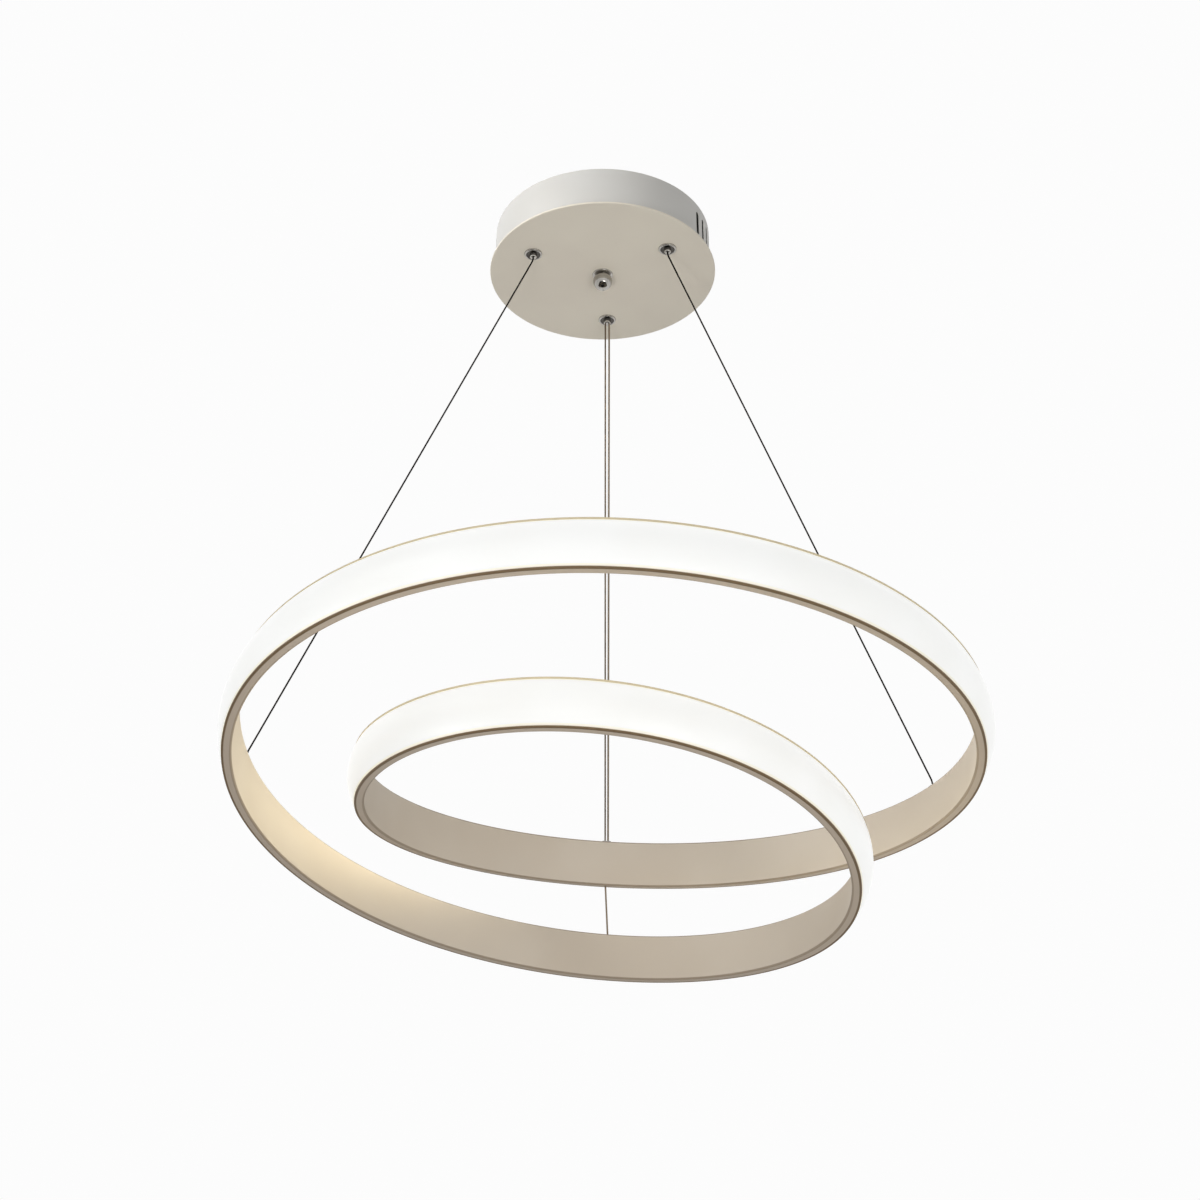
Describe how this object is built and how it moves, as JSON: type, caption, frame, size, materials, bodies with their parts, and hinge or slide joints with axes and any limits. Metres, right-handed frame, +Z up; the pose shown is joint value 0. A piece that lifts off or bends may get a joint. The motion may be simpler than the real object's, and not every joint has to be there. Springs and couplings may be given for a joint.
{
  "type": "led pendant light",
  "caption": "LED pendant: a double-loop ribbon of beige channel with a glowing outer face, hung by thin wires and a cord from a round canopy with vent slots.",
  "frame": {"origin": "middle of the canopy's ceiling face", "axes": "+Z up towards the ceiling, the picture's viewer on the -Y side, +X to the viewer's right"},
  "size_m": [0.5912, 0.5915, 0.6303],
  "materials": {
    "canopy_white": "satin",
    "beige_plate": "satin",
    "beige_profile": "satin",
    "opal": "opal glow",
    "led_strip": "matte",
    "chrome": "polished",
    "steel": "satin",
    "wire_rope": "satin",
    "brass": "satin",
    "beige_cord": "satin",
    "black_nylon": "matte",
    "white_nylon": "matte",
    "board_green": "satin",
    "dark_parts": "satin",
    "lead_brown": "satin",
    "aluminium_bar": "satin"
  },
  "bodies": {
    "canopy": {"canopy_drum": "canopy_white", "drum_tabs": "canopy_white", "canopy_plate": "beige_plate", "finial_nut": "chrome", "finial_washer": "chrome", "plate_bushes": "chrome", "rear_ferrule": "chrome", "ceiling_bracket": "steel", "centre_rod": "steel", "rod_nuts": "steel", "weld_studs": "steel", "stud_nuts": "steel", "terminal_screws": "steel", "bush_nuts": "steel", "gripper_caps": "steel", "left_gripper": "steel", "right_gripper": "steel", "left_spring": "steel", "right_spring": "steel", "rear_stop_screw": "steel", "left_wire": "wire_rope", "right_wire": "wire_rope", "rear_wire": "wire_rope", "wire_tails": "wire_rope", "rear_wire_stop": "brass", "power_cord": "beige_cord", "cord_inner_run": "beige_cord", "rear_insert": "black_nylon", "gripper_inserts": "black_nylon", "driver_grommet": "black_nylon", "driver_base": "white_nylon", "driver_cover": "white_nylon", "terminal_block": "white_nylon", "driver_board": "board_green", "driver_components": "dark_parts", "mains_leads": "lead_brown"},
    "light_ring": {"profile_outer_right": "beige_profile", "profile_inner_left": "beige_profile", "profile_inner_right": "beige_profile", "profile_outer_left": "beige_profile", "diffuser_outer_right": "opal", "diffuser_inner_left": "opal", "diffuser_inner_right": "opal", "diffuser_outer_left": "opal", "led_strip_outer_right": "led_strip", "led_strip_inner_left": "led_strip", "led_strip_inner_right": "led_strip", "led_strip_outer_left": "led_strip", "joiner_bars": "aluminium_bar", "joiner_screws": "steel", "wire_eyelets": "brass", "twin_eyelet": "brass", "wire_crimps": "wire_rope", "ring_lead": "beige_cord", "link_wire": "wire_rope", "link_crimps": "wire_rope"},
    "left_release_nose": {"left_plunger": "chrome", "left_balls": "steel"},
    "right_release_nose": {"right_plunger": "chrome", "right_balls": "steel"}
  },
  "joints": [
    {"name": "lamp_height", "type": "slide", "parent": "canopy", "child": "light_ring", "axis": [0, 0, 1], "range_m": [0, 0.3], "deforming": ["left_wire", "right_wire", "rear_wire", "power_cord"]},
    {"name": "left_release", "type": "slide", "parent": "canopy", "child": "left_release_nose", "axis": [0, 0, 1], "range_m": [0, 0.002], "stiffness_N_per_m": 800, "springref_m": -0.002, "deforming": ["left_spring"]},
    {"name": "right_release", "type": "slide", "parent": "canopy", "child": "right_release_nose", "axis": [0, 0, 1], "range_m": [0, 0.002], "stiffness_N_per_m": 800, "springref_m": -0.002, "deforming": ["right_spring"]}
  ]
}
